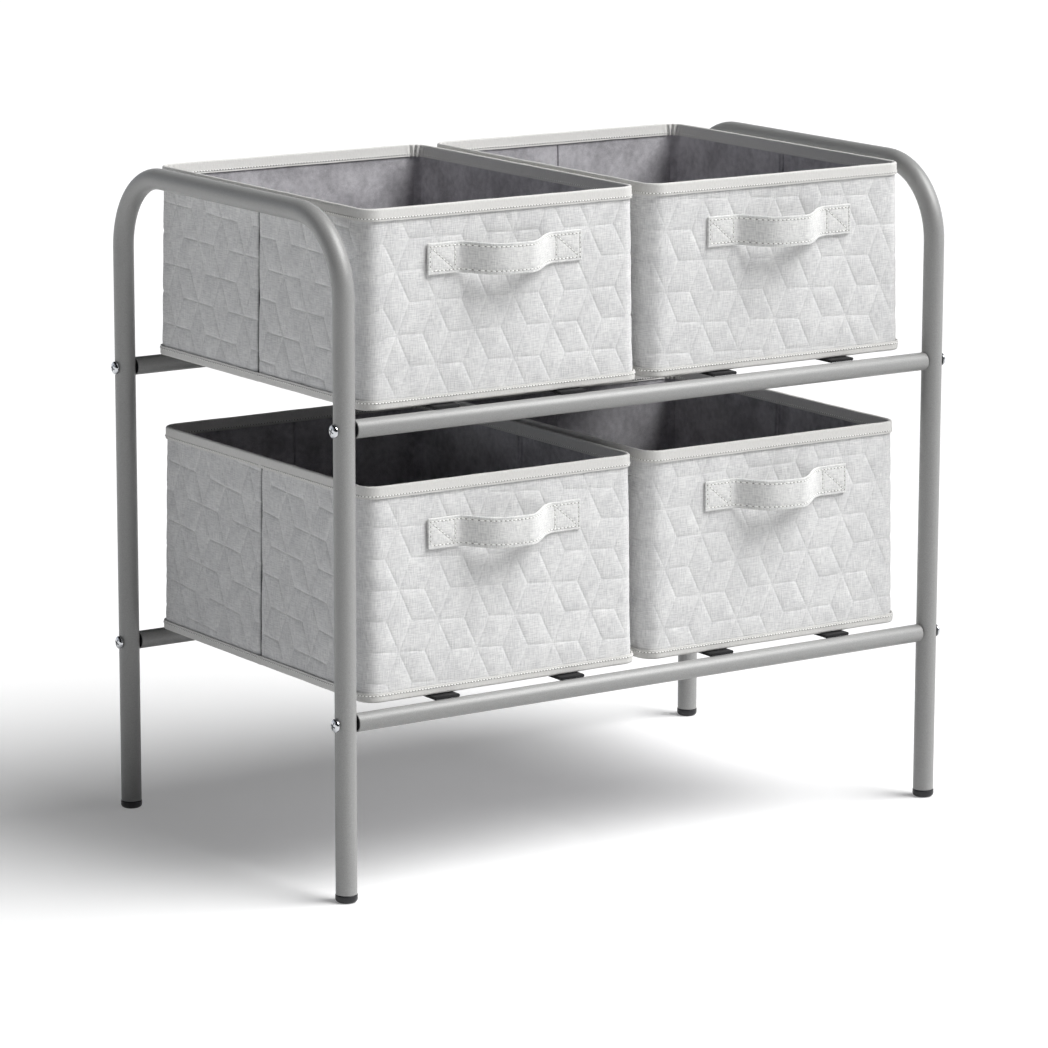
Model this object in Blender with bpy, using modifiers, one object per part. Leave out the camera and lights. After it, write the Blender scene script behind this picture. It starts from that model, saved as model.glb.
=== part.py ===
"""Two-tier storage rack of bent steel tube with four fabric bins.

Metres, +Z up. The origin is on the floor under the middle of the rack, and the front,
where the bins' handles are, faces -Y. Two side frames are screwed to four long rails,
eight slats lie across the rails, and the bins stand on the slats.
"""

import math

import bmesh
import bpy
from mathutils import Matrix, Vector


# Clearances shared by the whole rack
seat_gap = 0.0003
cut_overrun = 0.002
merge_distance = 0.00001

# Side frames
leg_diameter = 0.019
leg_wall = 0.0012
bend_radius = 0.070

# Rails
rail_diameter = 0.0165
rail_wall = 0.001

# Heights: the lower rails' axis over the floor, the free space between the lower bins and
# the upper rails, and the top bar's axis over the upper rails' axis
lower_rail_height = 0.159
reach_over_lower_bins = 0.0472
top_bar_over_upper_rails = 0.181

# Moulded plugs in the rail ends
plug_length = 0.018
plug_rib_height = 0.0004
plug_rib_width = 0.002
plug_rib_count = 1

# Pan-head screws with a cross recess
screw_head_diameter = 0.012
screw_head_height = 0.0036
screw_rim_height = 0.0012
screw_shank_diameter = 0.0057
screw_tip_chamfer = 0.0008
screw_reach_in_plug = 0.014
screw_hole_clearance = 0.0003
recess_span = 0.0064
recess_floor_span = 0.0026
recess_width = 0.0013
recess_depth = 0.0018

# Slats, flat straps with both long edges rolled under
slat_width = 0.027
slat_sheet = 0.0012
slat_roll_diameter = 0.003
slat_end_setback = 0.002
slat_offset_from_bin_centre = 0.0665

# Moulded feet
foot_height = 0.007
foot_lip = 0.0004
foot_edge_radius = 0.0034
foot_spigot_length = 0.016
foot_spigot_wall = 0.002

# Bins, measured over their bindings at the rim
bin_width = 0.285
bin_depth = 0.357
bin_heights = {"lower": 0.191, "upper": 0.174}
bin_corner_radius = 0.015
bin_flare = 0.0029
bin_wall = 0.0024
bin_base_edge_radius = 0.0028
lining_sheet = 0.0008

# Room round the bins at the rim: to each other, to the legs, and from the front or back
# face to the rail's axis
bin_to_bin_gap = 0.0135
bin_to_leg_gap = 0.0197
rail_beyond_bin = 0.0106

# Binding tapes sewn round the rim and the base
tape_sheet = 0.0009
rim_tape_height = 0.011
base_tape_height = 0.0085
base_tape_under = 0.007

# Loose board in each bin
board_thickness = 0.0025
board_clearance = 0.0012

# Handles, a strap sewn down at both ends with its middle standing out
handle_length = 0.160
handle_patch_length = 0.029
handle_width = 0.0275
handle_sheet = 0.0022
handle_bulge = 0.020
handle_drop = 0.034
handle_arch_steps = 12

# Roundness of turned pieces, tubes and corners
tube_bevel_resolution = 7
turned_steps = 14
hole_sides = 12
corner_steps = 3
bend_steps = 7
roll_steps = 4
edge_steps = 2
dome_steps = 3

tiers = ("lower", "upper")
sides = {"left": -1, "right": 1}
ends = {"front": -1, "rear": 1}

leg_radius = leg_diameter / 2
rail_radius = rail_diameter / 2
tape_build = seat_gap + tape_sheet

# A slat's end rests on the flank of the rail, just inside its crown, and a bin on the slats
slat_seat = math.sqrt(rail_radius ** 2 - slat_end_setback ** 2) + seat_gap
slat_top = slat_seat + slat_roll_diameter
bin_seat = slat_top + seat_gap

# The rack is as large as its bins and the room round them ask for
lower_rim_height = lower_rail_height + bin_seat + bin_heights["lower"]
upper_rail_height = lower_rim_height + reach_over_lower_bins + rail_radius
tier_heights = {"lower": lower_rail_height, "upper": upper_rail_height}
frame_top = upper_rail_height + top_bar_over_upper_rails
bin_spacing = bin_width + bin_to_bin_gap
frame_width = bin_spacing + bin_width + 2 * bin_to_leg_gap + leg_diameter
frame_depth = bin_depth + 2 * rail_beyond_bin
rail_length = frame_width - leg_diameter - 2 * seat_gap


def clear_scene():
    for existing in list(bpy.data.objects):
        bpy.data.objects.remove(existing)


def new_collection(name):
    collection = bpy.data.collections.new(name)
    bpy.context.scene.collection.children.link(collection)
    return collection


def new_material(name, colour, roughness, metallic=0.0):
    material = bpy.data.materials.new(name)
    material.use_nodes = True
    shader = material.node_tree.nodes["Principled BSDF"]
    shader.inputs["Base Color"].default_value = (*colour, 1.0)
    shader.inputs["Roughness"].default_value = roughness
    shader.inputs["Metallic"].default_value = metallic
    return material


def add_object(name, data, material=None, collection=None):
    obj = bpy.data.objects.new(name, data)
    (collection or rack).objects.link(obj)
    if material:
        data.materials.append(material)
    return obj


def hide_helper(obj):
    obj.hide_render = True
    obj.display_type = "WIRE"


def smooth(mesh, sharp_degrees=35.0):
    mesh.shade_smooth()
    mesh.set_sharp_from_angle(angle=math.radians(sharp_degrees))


def mesh_of(obj):
    """An object's mesh as its modifiers leave it, welded; the object itself is removed."""
    bpy.context.view_layer.update()
    evaluated = obj.evaluated_get(bpy.context.evaluated_depsgraph_get())
    mesh = bpy.data.meshes.new_from_object(evaluated)
    bpy.data.objects.remove(obj)
    form = bmesh.new()
    form.from_mesh(mesh)
    bmesh.ops.remove_doubles(form, verts=form.verts, dist=merge_distance)
    bmesh.ops.recalc_face_normals(form, faces=form.faces)
    form.to_mesh(mesh)
    form.free()
    return mesh


def polyline(name, points, dimensions="3D", cyclic=False):
    curve = bpy.data.curves.new(name, "CURVE")
    curve.dimensions = dimensions
    spline = curve.splines.new("POLY")
    spline.points.add(len(points) - 1)
    for slot, point in zip(spline.points, points):
        slot.co = (*point, *[0.0] * (3 - len(point)), 1.0)
    spline.use_cyclic_u = cyclic
    return curve


def flat_outline(name, points, thickness, material):
    """A closed outline in XY, thickened both ways along Z."""
    curve = polyline(name, points, "2D", cyclic=True)
    curve.fill_mode = "BOTH"
    curve.extrude = thickness / 2
    mesh = mesh_of(add_object(name, curve))
    smooth(mesh)
    return add_object(name, mesh, material)


def swept_ring(name, path, section, material):
    """A closed section, in outward and upward steps, carried round a closed level path."""
    facing = [(-outward, upward) for outward, upward in section]
    profile = add_object(name + "_section", polyline(name, facing, "2D", True), collection=cutters)
    hide_helper(profile)
    curve = polyline(name, path, "2D", cyclic=True)
    curve.fill_mode = "NONE"
    curve.bevel_mode = "OBJECT"
    curve.bevel_object = profile
    mesh = mesh_of(add_object(name, curve))
    smooth(mesh)
    return add_object(name, mesh, material)


def turned(name, profile, material, closed=False):
    """A profile of radius and height turned round Z, listed down its outer side."""
    mesh = bpy.data.meshes.new(name)
    points = [(radius, 0.0, height) for radius, height in profile]
    edges = [(index, index + 1) for index in range(len(points) - 1)]
    if closed:
        edges.append((len(points) - 1, 0))
    mesh.from_pydata(points, edges, [])
    obj = add_object(name, mesh, material)
    screw = obj.modifiers.new("turn", "SCREW")
    screw.axis = "Z"
    screw.angle = math.tau
    screw.steps = turned_steps
    screw.render_steps = turned_steps
    screw.use_merge_vertices = True
    screw.merge_threshold = merge_distance
    screw.use_smooth_shade = True
    return obj


def arc(centre, radius, start_degrees, end_degrees, steps):
    """Points on an arc, both ends included."""
    points = []
    for step in range(steps + 1):
        angle = math.radians(start_degrees + (end_degrees - start_degrees) * step / steps)
        points.append((centre[0] + radius * math.cos(angle), centre[1] + radius * math.sin(angle)))
    return points


def rounded_rectangle(width, depth, radius):
    """Anticlockwise outline about the origin."""
    x = width / 2 - radius
    y = depth / 2 - radius
    points = []
    for quarter, centre in enumerate(((x, y), (-x, y), (-x, -y), (x, -y))):
        points += arc(centre, radius, 90 * quarter, 90 * quarter + 90, corner_steps)
    return points


def cut(obj, cutter, name):
    boolean = obj.modifiers.new(name, "BOOLEAN")
    boolean.operation = "DIFFERENCE"
    boolean.object = cutter


def solidify(obj, thickness):
    wall = obj.modifiers.new("wall", "SOLIDIFY")
    wall.thickness = thickness
    wall.offset = -1.0
    wall.use_even_offset = True


def cylinder_mesh(name, radius, length, sides_round, axis="Z", capped=True):
    form = bmesh.new()
    turn = Matrix.Rotation(math.pi / 2, 4, "Y") if axis == "X" else Matrix.Identity(4)
    bmesh.ops.create_cone(
        form, cap_ends=capped, segments=sides_round, radius1=radius, radius2=radius,
        depth=length, matrix=turn)
    mesh = bpy.data.meshes.new(name)
    form.to_mesh(mesh)
    form.free()
    return mesh


# Side frames: one bent tube each, two legs and a top bar

def frame_axis_points():
    """Up the front leg, over the top bar and down the rear leg, as depth and height."""
    spring = frame_top - bend_radius
    inset = frame_depth / 2 - bend_radius
    points = [(-frame_depth / 2, foot_height + seat_gap)]
    points += arc((-inset, spring), bend_radius, 180, 90, bend_steps)
    points += arc((inset, spring), bend_radius, 90, 0, bend_steps)
    points.append((frame_depth / 2, foot_height + seat_gap))
    return points


def screw_hole_cutter():
    """Four bars across a side frame, where its screws pass through both walls."""
    radius = screw_shank_diameter / 2 + screw_hole_clearance
    form = bmesh.new()
    for end in ends.values():
        for tier in tiers:
            place = Matrix.Translation((0.0, end * frame_depth / 2, tier_heights[tier]))
            bmesh.ops.create_cone(
                form, cap_ends=True, segments=hole_sides, radius1=radius, radius2=radius,
                depth=leg_diameter + 2 * cut_overrun, matrix=place @ Matrix.Rotation(math.pi / 2, 4, "Y"))
    mesh = bpy.data.meshes.new("screw_holes")
    form.to_mesh(mesh)
    form.free()
    return mesh


def make_side_frames():
    curve = polyline("frame_axis", [(0.0, depth, height) for depth, height in frame_axis_points()])
    curve.bevel_depth = leg_radius
    curve.bevel_resolution = tube_bevel_resolution
    mesh = mesh_of(add_object("frame_axis", curve))
    smooth(mesh)
    for side, sign in sides.items():
        frame = add_object("side_frame_" + side, mesh.copy(), powder_coat)
        frame.location.x = sign * frame_width / 2
        solidify(frame, leg_wall)
        holes = add_object("screw_holes_" + side, screw_hole_cutter(), collection=cutters)
        holes.location.x = frame.location.x
        hide_helper(holes)
        cut(frame, holes, "screw holes")


# Rails: straight tubes between the side frames, open at both ends

def make_rails():
    mesh = cylinder_mesh("rail", rail_radius, rail_length, 2 * (tube_bevel_resolution + 2), "X", capped=False)
    smooth(mesh)
    mesh.materials.append(powder_coat)
    for tier in tiers:
        for end, sign in ends.items():
            rail = add_object("rail_" + tier + "_" + end, mesh)
            rail.location = (0.0, sign * frame_depth / 2, tier_heights[tier])
            solidify(rail, rail_wall)


# Rail plugs and frame screws, one of each where a rail meets a leg

def plug_profile():
    """Down the ribbed outside of a plug and up its bore; the height is the way into the rail."""
    outer = rail_radius - rail_wall - seat_gap
    core = outer - plug_rib_height
    bore = screw_shank_diameter / 2 + screw_hole_clearance
    pitch = (plug_length - plug_rib_width) / plug_rib_count
    points = []
    for rib in range(plug_rib_count + 1):
        crest = plug_length - rib * pitch
        points += [(outer, crest), (outer, crest - plug_rib_width)]
        if rib < plug_rib_count:
            points += [(core, crest - plug_rib_width), (core, crest - pitch)]
    return points + [(bore, 0.0), (bore, plug_length)]


def screw_profile():
    """From the crown of the head down to the tip; the head's seat is at zero height."""
    head = screw_head_diameter / 2
    shank = screw_shank_diameter / 2
    tip = leg_diameter + 2 * seat_gap + screw_reach_in_plug
    dome = screw_head_height - screw_rim_height
    crown = []
    for step in range(dome_steps):
        angle = math.pi / 2 * step / dome_steps
        crown.append((head * math.sin(angle), screw_rim_height + dome * math.cos(angle)))
    return crown + [
        (head, screw_rim_height), (head, 0.0), (shank, 0.0), (shank, screw_tip_chamfer - tip),
        (shank - screw_tip_chamfer, -tip), (0.0, -tip)]


def recess_wedges():
    """Two crossed wedges, as long as the recess at the crown and shorter at its floor."""
    top = screw_head_height + cut_overrun
    floor = screw_head_height - recess_depth
    spread = (recess_span - recess_floor_span) / recess_depth
    meshes = []
    for turn in (0.0, math.pi / 2):
        form = bmesh.new()
        bmesh.ops.create_cube(form, size=1.0)
        for vert in form.verts:
            height = top if vert.co.z > 0 else floor
            span = recess_floor_span + spread * (height - floor)
            vert.co = Vector((vert.co.x * span, vert.co.y * recess_width, height))
        bmesh.ops.rotate(form, verts=form.verts, cent=(0, 0, 0), matrix=Matrix.Rotation(turn, 3, "Z"))
        mesh = bpy.data.meshes.new("recess_wedge")
        form.to_mesh(mesh)
        form.free()
        meshes.append(mesh)
    return meshes


def make_plugs_and_screws():
    plug_mesh = mesh_of(turned("rail_plug_form", plug_profile(), black_plastic, closed=True))
    smooth(plug_mesh)
    blank = turned("frame_screw_form", screw_profile(), chrome)
    for number, wedge_mesh in enumerate(recess_wedges()):
        wedge = add_object("recess_wedge_" + str(number), wedge_mesh, collection=cutters)
        hide_helper(wedge)
        cut(blank, wedge, "recess arm")
    screw_mesh = mesh_of(blank)
    smooth(screw_mesh)
    for tier in tiers:
        for end, end_sign in ends.items():
            for side, side_sign in sides.items():
                tail = "_" + tier + "_" + end + "_" + side
                height = tier_heights[tier]
                depth = end_sign * frame_depth / 2
                plug = add_object("rail_plug" + tail, plug_mesh)
                plug.location = (side_sign * rail_length / 2, depth, height)
                plug.rotation_euler.y = -side_sign * math.pi / 2
                screw = add_object("frame_screw" + tail, screw_mesh)
                screw.location = (side_sign * (frame_width / 2 + leg_radius + seat_gap), depth, height)
                screw.rotation_euler.y = side_sign * math.pi / 2


# Slats: straps across the two rails of a tier, resting on them

def slat_section():
    """The strap's cross-section about its own middle, with its top at zero height."""
    roll = slat_roll_diameter / 2
    edge = slat_width / 2 - roll
    web = edge - roll
    left = arc((-edge, -roll), roll, 90, 270, roll_steps)
    right = arc((edge, -roll), roll, -90, 90, roll_steps)
    return left + [(-web, -roll), (-web, -slat_sheet), (web, -slat_sheet), (web, -roll)] + right


def make_slats():
    length = frame_depth - 2 * slat_end_setback
    form = flat_outline("slat_form", slat_section(), length, slat_coat)
    mesh = form.data
    bpy.data.objects.remove(form)
    for tier in tiers:
        for side, side_sign in sides.items():
            for place, place_sign in (("outer", side_sign), ("inner", -side_sign)):
                slat = add_object("slat_" + tier + "_" + side + "_" + place, mesh)
                middle = side_sign * bin_spacing / 2 + place_sign * slat_offset_from_bin_centre
                slat.location = (middle, 0.0, tier_heights[tier] + slat_top)
                slat.rotation_euler.x = math.pi / 2


# Feet: a cap under each leg with a hollow spigot up the tube

def foot_profile():
    outer = leg_radius + foot_lip
    spigot = leg_radius - leg_wall - seat_gap
    bore = spigot - foot_spigot_wall
    edge = arc((outer - foot_edge_radius, foot_edge_radius), foot_edge_radius, 0, -90, roll_steps)
    return [
        (0.0, foot_height), (bore, foot_height), (bore, foot_height + foot_spigot_length),
        (spigot, foot_height + foot_spigot_length), (spigot, foot_height), (outer, foot_height),
    ] + edge + [(0.0, 0.0)]


def make_feet():
    form = turned("foot_form", foot_profile(), black_plastic)
    mesh = mesh_of(form)
    smooth(mesh)
    for end, end_sign in ends.items():
        for side, side_sign in sides.items():
            foot = add_object("foot_" + end + "_" + side, mesh)
            foot.location = (side_sign * frame_width / 2, end_sign * frame_depth / 2, 0.0)


# Bins: a quilted shell, a lining, two bindings, a strap handle and a loose board

shell_width = bin_width - 2 * tape_build
shell_depth = bin_depth - 2 * tape_build


def open_box(name, width, depth, height, radius, slope, wall, material):
    """A box open at the top, a little wider at the base, with its walls thickened inwards."""
    flare = slope * height
    form = bmesh.new()
    base = [form.verts.new((x, y, 0.0)) for x, y in
            rounded_rectangle(width + 2 * flare, depth + 2 * flare, radius)]
    form.faces.new(base)
    raised = bmesh.ops.extrude_face_region(form, geom=list(form.faces))["geom"]
    for vert in (item for item in raised if isinstance(item, bmesh.types.BMVert)):
        inward = Vector((-math.copysign(flare, vert.co.x), -math.copysign(flare, vert.co.y), height))
        vert.co += inward
    bmesh.ops.recalc_face_normals(form, faces=form.faces)
    lid = max(form.faces, key=lambda face: face.calc_center_median().z)
    bmesh.ops.delete(form, geom=[lid], context="FACES_ONLY")
    floor = min(form.faces, key=lambda face: face.calc_center_median().z)
    bmesh.ops.bevel(
        form, geom=list(floor.edges), offset=bin_base_edge_radius, segments=edge_steps,
        profile=0.5, affect="EDGES", clamp_overlap=True)
    mesh = bpy.data.meshes.new(name)
    form.to_mesh(mesh)
    form.free()
    smooth(mesh)
    obj = add_object(name, mesh, material)
    solidify(obj, wall)
    return obj


def rim_tape_section(slope):
    """The tape folded over the wall's top edge; zero is the shell's outer top corner."""
    drop = rim_tape_height - tape_build
    inner = bin_wall + seat_gap + lining_sheet + tape_build
    crease = tape_sheet / 2
    return [
        (tape_build + slope * drop, -drop),
        (tape_build, tape_build - crease),
        (tape_build - crease, tape_build),
        (crease - inner, tape_build),
        (-inner, tape_build - crease),
        (slope * drop - inner, -drop),
        (slope * drop - inner + tape_sheet, -drop),
        (tape_sheet - inner, seat_gap),
        (seat_gap, seat_gap),
        (seat_gap + slope * drop, -drop),
    ]


def base_tape_section(slope):
    """The tape folded under the base's edge; zero is the shell's outer bottom corner."""
    centre = (-bin_base_edge_radius, bin_base_edge_radius)
    outer = bin_base_edge_radius + tape_build
    inner = bin_base_edge_radius + seat_gap
    rise = base_tape_height - tape_build
    under = -bin_base_edge_radius - base_tape_under
    return (
        [(tape_build - slope * rise, rise)]
        + arc(centre, outer, 0, -90, edge_steps)
        + [(under, -tape_build), (under, -seat_gap)]
        + arc(centre, inner, -90, 0, edge_steps)
        + [(seat_gap - slope * rise, rise)])


def handle_outline():
    """The strap seen from above, its back on Y zero and its arch standing out along -Y."""
    start = handle_patch_length - handle_length / 2
    span = -2 * start
    path = [Vector((-handle_length / 2, 0.0))]
    for step in range(handle_arch_steps + 1):
        share = step / handle_arch_steps
        stand = handle_bulge * (1 - math.cos(2 * math.pi * share)) / 2
        path.append(Vector((start + span * share, -stand)))
    path.append(Vector((handle_length / 2, 0.0)))
    outer = []
    for index, point in enumerate(path):
        along = path[min(index + 1, len(path) - 1)] - path[max(index - 1, 0)]
        outward = Vector((along.y, -along.x)).normalized()
        outer.append(point + outward * handle_sheet)
    return [tuple(point) for point in path] + [tuple(point) for point in reversed(outer)]


def make_bin(tier, side):
    name = "bin_" + tier + "_" + side
    height = bin_heights[tier]
    shell_height = height - 2 * tape_build
    slope = bin_flare / shell_height
    carrier = bpy.data.objects.new(name, None)
    rack.objects.link(carrier)
    carrier.location = (sides[side] * bin_spacing / 2, 0.0, tier_heights[tier] + bin_seat)

    shell = open_box(
        name + "_shell", shell_width, shell_depth, shell_height, bin_corner_radius, slope,
        bin_wall, quilted_fabric)
    shell.location.z = tape_build

    skin = bin_wall + seat_gap
    lining = open_box(
        name + "_lining", shell_width - 2 * skin, shell_depth - 2 * skin, shell_height - skin,
        bin_corner_radius - skin, slope, lining_sheet, lining_felt)
    lining.location.z = tape_build + skin

    rim = swept_ring(
        name + "_rim_binding", rounded_rectangle(shell_width, shell_depth, bin_corner_radius),
        rim_tape_section(slope), binding_tape)
    rim.location.z = tape_build + shell_height

    base = swept_ring(
        name + "_base_binding",
        rounded_rectangle(shell_width + 2 * bin_flare, shell_depth + 2 * bin_flare, bin_corner_radius),
        base_tape_section(slope), binding_tape)
    base.location.z = tape_build

    handle = flat_outline(name + "_handle", handle_outline(), handle_width, quilted_fabric)
    handle_height = height - handle_drop - handle_width / 2
    drop = tape_build + shell_height - handle_height
    handle.location = (0.0, -shell_depth / 2 - slope * drop - seat_gap, handle_height)
    handle.rotation_euler.x = -math.atan(slope)

    inset = bin_wall + lining_sheet + 2 * seat_gap + tape_sheet + board_clearance
    board = flat_outline(
        name + "_base_board",
        rounded_rectangle(shell_width - 2 * inset, shell_depth - 2 * inset, bin_corner_radius - inset),
        board_thickness, lining_felt)
    board.location.z = tape_build + skin + lining_sheet + seat_gap + board_thickness / 2

    for piece in (shell, lining, rim, base, handle, board):
        piece.parent = carrier


clear_scene()
rack = new_collection("fabric_bin_storage_rack")
cutters = new_collection("cutters")

powder_coat = new_material("silver_grey_powder_coat", (0.40, 0.40, 0.42), 0.38, 0.25)
slat_coat = new_material("graphite_slat_coat", (0.030, 0.030, 0.034), 0.42)
black_plastic = new_material("black_moulded_plastic", (0.012, 0.012, 0.013), 0.45)
chrome = new_material("chromed_steel", (0.78, 0.79, 0.80), 0.12, 1.0)
quilted_fabric = new_material("quilted_heather_fabric", (0.76, 0.76, 0.75), 0.9)
binding_tape = new_material("off_white_binding_tape", (0.82, 0.81, 0.79), 0.85)
lining_felt = new_material("grey_lining_felt", (0.38, 0.365, 0.40), 0.95)

make_side_frames()
make_rails()
make_plugs_and_screws()
make_slats()
make_feet()
for tier in tiers:
    for side in sides:
        make_bin(tier, side)
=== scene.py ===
"""Looks of a storage rack: a frame of bent steel tube and four quilted fabric bins.

Metres, +Z up, the front faces -Y. Sections follow the rack as it is put together.
"""

import math
from itertools import product

import bmesh
import bpy
import numpy as np
from mathutils import Matrix, Vector, noise


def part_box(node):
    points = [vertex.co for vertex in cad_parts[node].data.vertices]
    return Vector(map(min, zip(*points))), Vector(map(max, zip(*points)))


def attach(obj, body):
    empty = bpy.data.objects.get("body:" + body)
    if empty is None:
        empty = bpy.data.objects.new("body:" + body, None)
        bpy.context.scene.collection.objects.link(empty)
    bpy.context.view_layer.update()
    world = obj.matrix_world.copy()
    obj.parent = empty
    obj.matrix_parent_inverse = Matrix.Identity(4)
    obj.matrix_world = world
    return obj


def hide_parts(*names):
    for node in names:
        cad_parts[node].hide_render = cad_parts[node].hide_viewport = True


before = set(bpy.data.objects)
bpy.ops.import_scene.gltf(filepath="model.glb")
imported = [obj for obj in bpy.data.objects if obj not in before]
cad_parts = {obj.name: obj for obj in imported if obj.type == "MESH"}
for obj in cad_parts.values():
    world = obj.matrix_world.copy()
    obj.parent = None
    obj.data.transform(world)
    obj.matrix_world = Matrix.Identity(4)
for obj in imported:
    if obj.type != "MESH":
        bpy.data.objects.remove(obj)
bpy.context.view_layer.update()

ops = bpy.ops
ops.object.select_all(action="DESELECT")


# Camera
# The rack was photographed from its front left, a little above the rims, with a long lens.
# Place, turn and lens were fitted to the edges of the frame, without a shift of the lens.
camera_place = Vector((-2.4238, -3.5564, 1.1614))
camera_turn_degrees = 34.20
camera_dip_degrees = 11.754
camera_roll_degrees = 0.15
camera_lens = 162.68

ops.object.camera_add(location=camera_place)
camera = bpy.context.object
camera.name = "camera"
camera.data.lens = camera_lens
camera.data.sensor_width = 36.0
camera.data.clip_end = 100.0
look = (
    Matrix.Rotation(math.radians(-camera_turn_degrees), 3, "Z")
    @ Matrix.Rotation(math.radians(90.0 - camera_dip_degrees), 3, "X")
    @ Matrix.Rotation(math.radians(camera_roll_degrees), 3, "Z"))
camera.rotation_euler = look.to_euler()
bpy.context.scene.camera = camera
bpy.context.scene.view_settings.view_transform = "Standard"


# Floor
# A seamless sweep of matt white paper. It takes the rack's soft shadow, and to the camera it
# is a little brighter than the light on it, so that it runs into the white behind.
floor_size = 60.0
paper_white = "#F2F2F2"
paper_bounce = "#E2E2E2"
paper_lift = 0.222


def linear(hex_colour):
    """An sRGB hex colour as the linear red, green, blue and alpha of a shader's socket."""
    channels = [int(hex_colour[at:at + 2], 16) / 255 for at in (1, 3, 5)]
    return [c / 12.92 if c <= 0.04045 else ((c + 0.055) / 1.055) ** 2.4 for c in channels] + [1.0]


def add_node(tree, kind, settings=None, **links):
    """A node of that kind with its settings, and each named input given a value or linked."""
    node = tree.nodes.new(kind)
    for name, value in (settings or {}).items():
        setattr(node, name, value)
    for name, value in links.items():
        key = int(name[1:]) if name[1:].isdigit() else name.replace("_", " ")
        socket = node.inputs[key]
        if isinstance(value, bpy.types.NodeSocket):
            tree.links.new(value, socket)
        else:
            socket.default_value = value
    return node


def new_material(name):
    """A node material and its tree, with nothing but an output."""
    material = bpy.data.materials.new(name)
    material.use_nodes = True
    material.node_tree.nodes.clear()
    material.node_tree.nodes.new("ShaderNodeOutputMaterial")
    return material, material.node_tree


def show(tree, shader, output="Material Output"):
    """Wires a shader to the tree's output."""
    tree.links.new(shader.outputs[0], tree.nodes[output].inputs["Surface"])


def mix_tones(tree, share, low, high):
    """A colour between two tones, by another node's share. The low one may be a node's too."""
    tone = low if isinstance(low, bpy.types.NodeSocket) else linear(low)
    return add_node(tree, "ShaderNodeMix", {"data_type": "RGBA"}, _0=share, _6=tone,
                    _7=linear(high)).outputs[2]


def calculate(tree, operation, **values):
    """A maths node's result."""
    return add_node(tree, "ShaderNodeMath", {"operation": operation}, **values).outputs[0]


paper, tree = new_material("matt_white_paper")
seen = add_node(tree, "ShaderNodeLightPath")
for_eyes = calculate(tree, "MAXIMUM", _0=seen.outputs["Is Camera Ray"], _1=seen.outputs["Is Glossy Ray"])
tone = mix_tones(tree, for_eyes, paper_bounce, paper_white)
bounce = add_node(tree, "ShaderNodeBsdfDiffuse", Color=tone)
glow = add_node(tree, "ShaderNodeEmission", Strength=calculate(tree, "MULTIPLY", _0=for_eyes, _1=paper_lift))
both = add_node(tree, "ShaderNodeAddShader", _0=bounce.outputs[0], _1=glow.outputs[0])
show(tree, both)

ops.mesh.primitive_plane_add(size=floor_size)
floor = bpy.context.object
floor.name = "paper_floor"
floor.data.materials.append(paper)


# Light
# One large soft light stands high at the front right, as the shadow to the left tells. The
# ceiling and the camera's side are dim, and white paper glows low at the back and the left.
key_from = Vector((0.465, -0.425, 0.777))
key_strength = 3.9
key_spread_degrees = 46.0
room_tint = "#F4F8FF"
room_strength = 0.012
glow_from = Vector((-0.62, 0.78, 0.0))
glow_side_fade = (-0.3, 0.9)
glow_top_fade = (0.38, 0.0)
glow_strength = 1.05
backdrop_toward = Vector((0.66, 0.75, 0.0))
backdrop_side_fade = (-0.7, 0.3)
backdrop_top_fade = (0.55, 0.15)
backdrop_seen = 0.9

ops.object.light_add(type="SUN", location=3 * key_from)
key = bpy.context.object
key.name = "key_light"
key.data.energy = key_strength
key.data.angle = math.radians(key_spread_degrees)
key.rotation_euler = key_from.to_track_quat("Z", "Y").to_euler()

world = bpy.data.worlds.new("studio_room")
bpy.context.scene.world = world
world.use_nodes = True
tree = world.node_tree
tree.nodes.clear()
tree.nodes.new("ShaderNodeOutputWorld")
seen = add_node(tree, "ShaderNodeLightPath")
toward = add_node(tree, "ShaderNodeTexCoord").outputs["Generated"]
height = add_node(tree, "ShaderNodeSeparateXYZ", Vector=toward).outputs["Z"]


def fade(value, start, end):
    """A soft step from 0 at the start to 1 at the end."""
    return add_node(tree, "ShaderNodeMapRange", {"interpolation_type": "SMOOTHSTEP"}, Value=value,
                    From_Min=start, From_Max=end).outputs[0]


def glow_on_wall(middle, side_fade, top_fade, strength):
    """Light that fades to both sides of a direction and upwards, over the room's own."""
    facing = add_node(tree, "ShaderNodeVectorMath", {"operation": "DOT_PRODUCT"}, _0=toward, _1=middle)
    facing = fade(facing.outputs["Value"], *side_fade)
    share = calculate(tree, "MULTIPLY", _0=facing, _1=fade(height, *top_fade))
    return calculate(tree, "MULTIPLY_ADD", _0=share, _1=strength, _2=room_strength)


glow = glow_on_wall(glow_from, glow_side_fade, glow_top_fade, glow_strength)
shine = glow_on_wall(backdrop_toward, backdrop_side_fade, backdrop_top_fade, backdrop_seen)
lit = add_node(tree, "ShaderNodeMix", _0=seen.outputs["Is Glossy Ray"], _2=glow, _3=shine).outputs[0]
strength = add_node(tree, "ShaderNodeMix", _0=seen.outputs["Is Camera Ray"], _2=lit, _3=1.0).outputs[0]
tint = mix_tones(tree, seen.outputs["Is Camera Ray"], room_tint, "#FFFFFF")
room = add_node(tree, "ShaderNodeBackground", Color=tint, Strength=strength)
show(tree, room, "World Output")


# Side frames
# Each is one length of 19 mm steel tube, bent twice into an upturned U and powder coated in
# satin silver grey. The coat melts into a faint orange peel and holds fine metal flake.
leg_radius = 0.0095
leg_wall = 0.0012
bend_radius = 0.070
tube_sides = 40
bend_steps = 18
coat_grey = "#989897"
coat_flake = "#ACACAB"
coat_peel_size = 0.0016
coat_flake_size = 0.00035
weld_distance = 0.00001
touch = 0.0001
tiers = ("lower", "upper")
ends = ("front", "rear")
sides = ("left", "right")


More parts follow.
